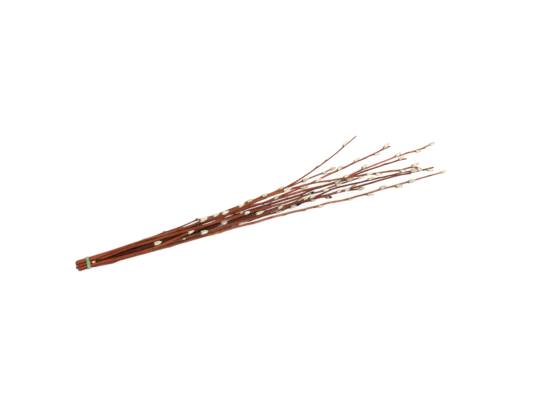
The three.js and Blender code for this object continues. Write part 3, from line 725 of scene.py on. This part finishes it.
def add_shell(parts, stem, shoot, end, top):
    """A bud scale: a thin closed shell over one side of a catkin's foot, pointed towards its far end."""
    frame_of = shoot_frame(stem, shoot)
    start, spread, lift, thick = 0.012, radians(98), 0.1, 0.22
    rows, columns = 8, 9
    run = np.arange(rows) / (rows - 1)
    edge = 1 - np.linspace(-1, 1, columns) ** 2
    points = []
    for u in run:
        t = start + (end - start) * u
        half = spread * sqrt(max(0.0, 1 - u**2.2)) + 0.02
        angle = radians(top) + np.linspace(-half, half, columns)
        base = shoot["radius"] * CORE_SHARE * catkin_profile(np.clip(t, 0.02, 0.98)) + lift * (0.5 + 0.5 * u)
        outside = base + thick * (0.35 + 0.65 * edge) * (1 - 0.6 * u)
        points.append(catkin_point(frame_of, shoot, t, angle, outside))
        points.append(catkin_point(frame_of, shoot, t, angle, base - 0.12)[::-1])
    # Each row is a flat ring, out along the outer side and back along the inner one.
    sides, last = 2 * columns, (rows - 1) * 2 * columns
    strips = [(c, c + 1, sides - 2 - c, sides - 1 - c) for c in range(columns - 1)]
    faces = tube_faces(rows, sides) + strips + [tuple(last + i for i in f) for f in turned(strips)]
    parts.add(np.concatenate(points), turned(faces), share=np.repeat(run, sides), tone=0.5)


def add_bud(parts, stem, shoot, tone):
    """A dormant bud: a pointed scale wrapped round, flat on the stem's side and keeled outside."""
    start, along, side, up = shoot_frame(stem, shoot)
    larger = LARGER_BUD if shoot["kind"] == "d" else 1.0
    length, full = shoot["length"] * larger, shoot["radius"] * larger
    turn = round_angles(12)
    keel = 1 + 0.12 * np.clip(np.cos(turn), 0, 1) ** 6 - 0.22 * np.clip(-np.cos(turn), 0, 1) ** 2
    t = np.linspace(0.02, 0.985, 11)

    def on_axis(share):
        return start + along * length * share - up * (0.05 * length * share**2)

    rings = []
    for share in t:
        radius = full * sin(pi * share**0.62) ** 0.75 * (1 - 0.25 * share)
        across = outer(radius * keel * np.cos(turn), up) + outer(radius * 0.92 * np.sin(turn), side)
        rings.append(on_axis(share) + across)
    parts.add_spindle(rings, [on_axis(0), on_axis(1)], t, tone=tone)


def dress_stem(stem, materials):
    name = stem["name"]
    random = np.random.default_rng(1000 + stem["seed"])
    pieces = [(bark_piece(stem, [materials["bark_" + name], materials["cut"]]), "bark")]
    catkins, scales = Parts(), Parts()
    added = [
        {"x": x, "roll": roll, "kind": "c", "length": length, "radius": radius, "lean": 9.0, "root": 0.45}
        for x, roll, length, radius in ADDED.get(name, ())
    ]
    for shoot in stem["shoots"] + added:
        place = f"{name}{round(shoot['x'])}"
        size = SIZES.get(place, 1.0)
        shoot = {**shoot, "x": shoot["x"] + MOVED.get(place, 0), "length": shoot["length"] * size,
                 "radius": shoot["radius"] * size, "roll": SIDEWAYS.get(place, shoot["roll"])}
        if shoot["kind"] in BUDS:
            # A thick dark bud gets tone -1, nearly black: painted shade in the dark gap it sits in.
            add_bud(scales, stem, shoot, random.random() if shoot["kind"] == "b" else -1.0)
            continue
        at_tip = shoot["x"] >= stem["end"] - NEAR_TIP
        if shoot["x"] > FREE_FROM and not at_tip:
            shoot = {**shoot, "root": shoot["root"] + FREE_ROOT, "lean": shoot["lean"] + FREE_LEAN}
        fur_end = CAPPED[place] + 0.03 if place in CAPPED else FUR_END
        # Catkins in the bunch's shade get painted shade: olive grey.
        add_catkin(catkins, stem, shoot, random, fur_end, PAINTED_SHADE_CATKINS.get(place, 1.0))
        if not at_tip:
            add_shell(scales, stem, shoot, 0.2 + 0.09 * random.random(), 15 * random.normal())
        if place in CAPPED:
            add_cap(scales, stem, shoot, CAPPED[place])
    if catkins.count:
        pieces.append((catkins.object(f"catkins_{name}", materials["catkin"]), "catkin"))
    if scales.count:
        pieces.append((scales.object(f"scales_{name}", materials["scale"]), "scale"))
    for piece, slot in pieces:
        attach(piece, "root")
        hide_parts(f"willow_stem_{name}")


def band_path():
    """The tight outline round the nine outer stems, evenly resampled, its normals and its run."""
    stems = np.radians(10 + 40 * np.arange(9))
    centres = PACK_RADIUS * np.c_[np.cos(stems), np.sin(stems)]
    outline = []
    for degree in range(360):
        normal = np.array([cos(radians(degree)), sin(radians(degree))])
        outline.append(centres[np.argmax(centres @ normal)] + normal * BAND_PATH)
    closed = np.array([*outline, outline[0]])
    run = np.concatenate([[0], np.cumsum(np.linalg.norm(np.diff(closed, axis=0), axis=1))])
    at = np.linspace(0, run[-1], BAND_STEPS, endpoint=False)
    path = np.c_[np.interp(at, run, closed[:, 0]), np.interp(at, run, closed[:, 1])]
    ahead = np.roll(path, -1, 0) - np.roll(path, 1, 0)
    return path, unit(np.c_[ahead[:, 1], -ahead[:, 0]]), at


def band_piece(material):
    """The rubber band: one loop wound twice, its two turns side by side and crossing on the upper side."""
    random = np.random.default_rng(5)
    path, normal, at = band_path()
    angle = np.arctan2(path[:, 1], path[:, 0])
    away = np.angle(np.exp(1j * (angle - CROSSING)))  # from -pi to pi, 0 at the crossing
    swap = 1 / (1 + np.exp(-away / radians(7)))  # which of the two sides the turn is on
    spread = 1.2 + 0.35 * np.exp(-((away / radians(55)) ** 2))
    spread -= 0.2 * np.exp(-(((np.abs(away) - pi) / 0.8) ** 2))
    rise = np.exp(-((away / radians(17)) ** 2))
    wobble = [ripple(random, 5, 14, 40) for _ in range(6)]
    turn = round_angles(BAND_SIDES)
    # The cross-section is a square with round corners.
    square = np.c_[np.cos(turn), np.sin(turn)]
    square = np.sign(square) * np.abs(square) ** 0.55
    parts = Parts()
    for sign, over, shift in ((1, 0.9, 0), (-1, 0.0, 200)):
        along = at + shift
        offset = sign * spread * (2 * swap - 1)
        width = BAND_HALF_WIDTH + 0.12 * wobble[0](along) - 0.12 * rise
        thick = BAND_HALF_THICK + 0.05 * wobble[1](along)
        tilt = 0.16 * wobble[2](along) + 0.25 * rise * sign
        lift = BUTT_RADIUS + BAND_GAP + BAND_HALF_THICK + over * rise - BAND_PATH
        rings = []
        for n in range(BAND_STEPS):
            x = BAND_X - 0.9 + 0.1 * path[n][0] + offset[n] + 0.15 * wobble[3](along[n])
            middle = path[n] + normal[n] * (lift[n] + 0.04 * wobble[4](along[n]))
            wide = np.array([cos(tilt[n]), *(normal[n] * sin(tilt[n]))])
            high = np.array([-sin(tilt[n]), *(normal[n] * cos(tilt[n]))])
            crease = 1 + 0.03 * random.normal(size=BAND_SIDES)
            ring = outer(square[:, 0] * width[n] * crease, wide)
            ring += outer(square[:, 1] * thick[n] * crease, high)
            rings.append(ring + [x, middle[0], middle[1] + BUNCH_Z])
        grain = np.c_[np.tile(square * [1.5, 1], (BAND_STEPS, 1)), np.repeat(along, BAND_SIDES)]
        faces = turned(tube_faces(BAND_STEPS, BAND_SIDES, closed=True))
        parts.add(np.concatenate(rings), faces, grain=grain, fold=np.repeat(rise, BAND_SIDES))
    made = parts.object("rubber_band_loop", material)
    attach(made, "root")
    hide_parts("rubber_band")


# Materials.


class Nodes:
    """A new material and short ways to add nodes to it."""

    def __init__(self, name, **values):
        self.material = bpy.data.materials.new(name)
        self.material.use_nodes = True
        self.tree = self.material.node_tree
        self.shader = self.tree.nodes["Principled BSDF"]
        for key, value in values.items():
            self.shader.inputs[key.replace("_", " ")].default_value = value

    def add(self, kind, inputs=(), **settings):
        node = self.tree.nodes.new("ShaderNode" + kind)
        for key, value in settings.items():
            setattr(node, key, value)
        for key, value in dict(inputs).items():
            self.set(node.inputs[key], value)
        return node

    def set(self, socket, value):
        if isinstance(value, bpy.types.NodeSocket):
            self.tree.links.new(value, socket)
        else:
            socket.default_value = value

    def attribute(self, name, output="Fac"):
        return self.add("Attribute", attribute_name=name).outputs[output]

    def place(self):
        return self.add("TexCoord").outputs["Object"]

    def scaled(self, vector, scale):
        return self.add("Mapping", {"Vector": vector, "Scale": scale}).outputs["Vector"]

    def noise(self, vector, scale, detail=2.0, rough=0.5):
        inputs = {"Vector": self.scaled(vector, scale), "Scale": 1.0, "Detail": detail, "Roughness": rough}
        return self.add("TexNoise", inputs).outputs["Fac"]

    def math(self, operation, a, b=0.0, clamp=False):
        return self.add("Math", {0: a, 1: b}, operation=operation, use_clamp=clamp).outputs[0]

    def times(self, a, b, clamp=False):
        return self.math("MULTIPLY", a, b, clamp)

    def plus(self, a, b, clamp=False):
        return self.math("ADD", a, b, clamp)

    def grey(self, value):
        return self.add("CombineColor", {0: value, 1: value, 2: value}).outputs[0]

    def ramp(self, fac, *stops):
        node = self.add("ValToRGB", {"Fac": fac})
        while len(node.color_ramp.elements) < len(stops):
            node.color_ramp.elements.new(0.5)
        for element, (position, colour) in zip(node.color_ramp.elements, stops):
            element.position = position
            element.color = (*colour, 1)
        return node.outputs["Color"]

    def range(self, value, low, high, to_low=0.0, to_high=1.0):
        inputs = {"Value": value, "From Min": low, "From Max": high, "To Min": to_low, "To Max": to_high}
        return self.add("MapRange", inputs).outputs["Result"]

    def mix(self, fac, a, b, blend="MIX"):
        node = self.add("Mix", data_type="RGBA", blend_type=blend)
        self.set(node.inputs["Factor"], fac)
        for key, value in (("A", a), ("B", b)):
            self.set(node.inputs[key], value if isinstance(value, bpy.types.NodeSocket) else (*value, 1))
        return node.outputs["Result"]

    def tinted(self, a, b):
        return self.mix(1.0, a, b, "MULTIPLY")

    def finished(self, colour, roughness, height, strength, distance):
        """The material, with its colour, roughness and bump set."""
        bump = self.add("Bump", {"Height": height, "Strength": strength, "Distance": distance})
        values = {"Base Color": colour, "Roughness": roughness, "Normal": bump.outputs["Normal"]}
        for key, value in values.items():
            self.set(self.shader.inputs[key], value)
        return self.material


def bark_material(name, colour, bright, butt):
    n = Nodes("bark_" + name, Specular_IOR_Level=0.1)
    grain = n.attribute("grain", "Vector")
    streak = n.noise(grain, (1.9, 1.9, 0.07), 4, 0.6)
    blotch = n.noise(grain, (0.16, 0.16, 0.022), 3)
    fine = n.noise(grain, (5, 5, 0.8), 3)
    tint = n.plus(n.times(streak, 0.55), n.times(blotch, 0.55))
    dark = [c * 0.42 for c in colour]
    light = [c * more for c, more in zip(colour, (1.35, 1.75, 1.7))]
    base = n.ramp(tint, (0.38, dark), (0.5, colour), (0.5 + 0.2 * (1.2 - bright), light))
    # Lenticels: small pale dots, longer along the stem.
    spots = n.add("TexVoronoi", {"Vector": n.scaled(grain, (0.62, 0.62, 0.3)), "Randomness": 1.0})
    chance = n.add("SeparateColor", {0: spots.outputs["Color"]}).outputs[0]
    dot = n.times(n.range(spots.outputs["Distance"], 0.17, 0.09), n.math("GREATER_THAN", chance, 0.55), True)
    base = n.mix(n.times(dot, 0.45), base, (0.3, 0.14, 0.07))
    # Leaf scars and the lines round a node are nearly black, with ochre patches; the same colours, weaker,
    # are the painted shade towards a catkin.
    scar = n.times(n.attribute("dark"), n.range(fine, 0.3, 0.6, 0.75, 1.0), True)
    base = n.mix(scar, base, n.mix(n.range(streak, 0.42, 0.58), (0.03, 0.018, 0.008), (0.17, 0.1, 0.03)))
    # Thin grey wax lies in patches.
    wax = n.range(n.noise(grain, (0.5, 0.5, 0.09), 5, 0.7), 0.58, 0.75, 0.0, 0.2)
    base = n.mix(wax, base, (0.2, 0.11, 0.1))
    # Towards the butt end the bark is redder, and in the bunch's shade darker.
    along_share = n.attribute("along_share")
    base = n.mix(n.range(along_share, 0.28, 0.14), base, n.tinted(base, (1.08, 0.87, 0.76)))
    # Painted shade: the butt end, deep in the bunch, keeps only a share of its colour.
    base = n.tinted(base, n.grey(n.range(along_share, *butt[1:], butt[0], 1.0)))
    roughness = n.plus(n.range(streak, 0.3, 0.7, 0.3, 0.46), n.times(wax, 0.5))
    height = n.plus(n.plus(n.times(streak, 0.6), n.times(fine, 0.25)), n.times(dot, 0.5))
    return n.finished(base, roughness, height, 0.55, 0.00012)


def catkin_material():
    n = Nodes("catkin_fur", Sheen_Weight=0.35, Sheen_Roughness=0.4, Specular_IOR_Level=0.3)
    place, tone = n.place(), n.attribute("tone")
    patch = n.noise(place, (350, 350, 350))
    spot = n.plus(n.attribute("share"), n.range(patch, 0.3, 0.7, -0.13, 0.13))
    base = n.ramp(
        spot, (0.0, (0.36, 0.29, 0.17)), (0.2, (0.7, 0.62, 0.43)), (0.45, (0.91, 0.85, 0.65)),
        (0.9, (0.96, 0.91, 0.73)),
    )
    base = n.tinted(base, n.grey(n.range(tone, 0, 1, 0.8, 1.08)))
    # Down in the fur the small brown bracts show.
    bract = n.add("TexVoronoi", {"Vector": n.scaled(place, (900, 900, 900))}).outputs["Distance"]
    deep = n.times(n.attribute("core"), n.range(bract, 0.5, 0.2, 0.0, 0.25), True)
    base = n.mix(deep, base, (0.46, 0.38, 0.24))
    return n.finished(base, n.range(tone, 0, 1, 0.62, 0.8), patch, 0.2, 0.0001)


def scale_material():
    """Bud scales; a tone from 0 to 1 is more or less brown, and -1 is nearly black, for the dark caps and
    for the thick dark buds, whose black is painted shade.
    """
    n = Nodes("bud_scale", Specular_IOR_Level=0.1)
    tone = n.attribute("tone")
    grain = n.noise(n.place(), (500, 1600, 1600), 3)
    spot = n.plus(n.attribute("share"), n.range(grain, 0.3, 0.7, -0.2, 0.2))
    base = n.ramp(
        spot, (0.0, (0.13, 0.06, 0.022)), (0.45, (0.085, 0.036, 0.014)), (1.0, (0.03, 0.015, 0.008)),
    )
    base = n.mix(n.range(tone, 0, 1, 0.0, 0.5), base, (0.16, 0.055, 0.02))
    base = n.mix(n.range(tone, 0, -1, 0.0, 0.92), base, (0.009, 0.009, 0.004))
    return n.finished(base, n.range(grain, 0.3, 0.7, 0.28, 0.5), grain, 0.4, 0.0001)


def cut_material():
    """Cut wood with its pith, rings and an olive rim, more or less aged from stem to stem."""
    n = Nodes("cut_wood", Specular_IOR_Level=0.3)
    radial = n.attribute("radial")
    wood = n.noise(n.attribute("grain", "Vector"), (3.2, 3.2, 1), 5, 0.7)
    fresh = n.ramp(
        radial, (0.0, (0.05, 0.03, 0.012)), (0.15, (0.08, 0.05, 0.02)), (0.2, (0.17, 0.125, 0.055)),
        (0.78, (0.12, 0.085, 0.035)), (0.85, (0.19, 0.17, 0.065)), (0.93, (0.1, 0.085, 0.03)),
    )
    old = n.mix(n.range(wood, 0.35, 0.65), (0.018, 0.012, 0.005), (0.075, 0.052, 0.022))
    rings = n.math("SINE", n.times(radial, 26.0))
    fresh = n.mix(n.range(rings, -1, 1, 0.0, 0.25), fresh, (0.12, 0.07, 0.03))
    age = n.plus(n.times(n.attribute("aged"), 0.6), n.range(wood, 0.35, 0.65, 0.0, 0.4), True)
    height = n.plus(wood, n.times(rings, 0.1))
    return n.finished(n.mix(age, fresh, old), n.range(wood, 0.3, 0.7, 0.65, 0.9), height, 0.7, 0.0002)


def rubber_material():
    """Powdery mint rubber, creased along the loop, with painted shade in the creases."""
    n = Nodes("mint_rubber", Specular_IOR_Level=0.35, Sheen_Weight=0.12, Sheen_Roughness=0.5)
    grain = n.attribute("grain", "Vector")
    patch = n.noise(grain, (0.5, 0.5, 0.42), 3)
    fine = n.noise(grain, (3.5, 3.5, 3.5), 4, 0.65)
    crease = n.noise(grain, (0.25, 0.25, 2.2))
    # The low parts of the crease pattern are darker green: painted shade in the creases.
    tint = n.plus(n.times(patch, 0.7), n.times(crease, 0.3))
    base = n.ramp(tint, (0.36, (0.07, 0.235, 0.1)), (0.5, (0.145, 0.35, 0.175)), (0.64, (0.25, 0.45, 0.25)))
    base = n.mix(n.range(fine, 0.52, 0.75, 0.0, 0.35), base, (0.38, 0.54, 0.38))
    base = n.mix(n.times(n.attribute("fold"), 0.25), base, (0.14, 0.38, 0.19))
    height = n.plus(n.times(crease, 0.7), n.times(fine, 0.2))
    return n.finished(base, n.range(fine, 0.3, 0.7, 0.48, 0.68), height, 0.6, 0.0003)


def floor_material():
    # The table is lit from below as well, which keeps it white next to the stems.
    return Nodes(
        "studio_floor", Roughness=0.95, Specular_IOR_Level=0.1, Base_Color=(0.2, 0.2, 0.197, 1),
        Emission_Color=(1, 1, 0.99, 1), Emission_Strength=0.8,
    ).material


# The set: floor, light and camera.


def make_floor():
    size, z = 6.0, -0.00002
    corners = [(-size, -size, z), (size, -size, z), (size, size, z), (-size, size, z)]
    mesh = bpy.data.meshes.new("studio_floor")
    mesh.from_pydata(corners, [], [(0, 1, 2, 3)])
    mesh.materials.append(floor_material())
    floor = linked("studio_floor", mesh)


def area_light(name, place, size, power):
    """A round lamp that shines at the frame's origin."""
    data = bpy.data.lights.new(name, "AREA")
    data.shape = "DISK"
    data.size, data.energy = size, power
    made = linked(name, data)
    made.location = place
    made.rotation_mode = "QUATERNION"
    made.rotation_quaternion = (-Vector(place)).to_track_quat("-Z", "Y")


def make_light():
    scene = bpy.context.scene
    world = bpy.data.worlds.new("studio")
    world.use_nodes = True
    background = world.node_tree.nodes["Background"]
    background.inputs["Color"].default_value = (1, 1, 1, 1)
    background.inputs["Strength"].default_value = 0.9
    scene.world = world
    area_light("key", (0.25, 0.9, 1.9), 1.0, 22)
    area_light("fill", (-0.7, -1.0, 1.6), 1.2, 9)
    view = scene.view_settings
    view.view_transform, view.look, view.exposure = "Standard", "None", 0.0


def make_camera():
    """Looks down on the bunch, tilted along it and rolled, as in the photograph."""
    tilt, roll = radians(12), radians(17)
    aim, distance = Vector((0.0177, -0.0103, 0.02)), 2.6
    forward = Vector((sin(tilt), 0, -cos(tilt)))
    level = Vector((cos(tilt), 0, sin(tilt)))
    sideways = Vector((0, 1, 0))
    right = level * cos(roll) - sideways * sin(roll)
    up = level * sin(roll) + sideways * cos(roll)
    place = aim - forward * distance
    data = bpy.data.cameras.new("camera")
    data.sensor_width = 36
    data.lens = 93.34
    data.clip_start, data.clip_end = 0.1, 50
    camera = linked("camera", data)
    columns = (right, up, -forward, place)
    camera.matrix_world = Matrix([*([column[row] for column in columns] for row in range(3)), (0, 0, 0, 1)])
    bpy.context.scene.camera = camera


make_camera()
made_materials = {
    "catkin": catkin_material(), "scale": scale_material(), "cut": cut_material(),
    **{"bark_" + name: bark_material(name, *values) for name, values in BARK.items()},
}
for grown in grown_stems():
    dress_stem(grown, made_materials)
band_piece(rubber_material())
make_floor()
make_light()
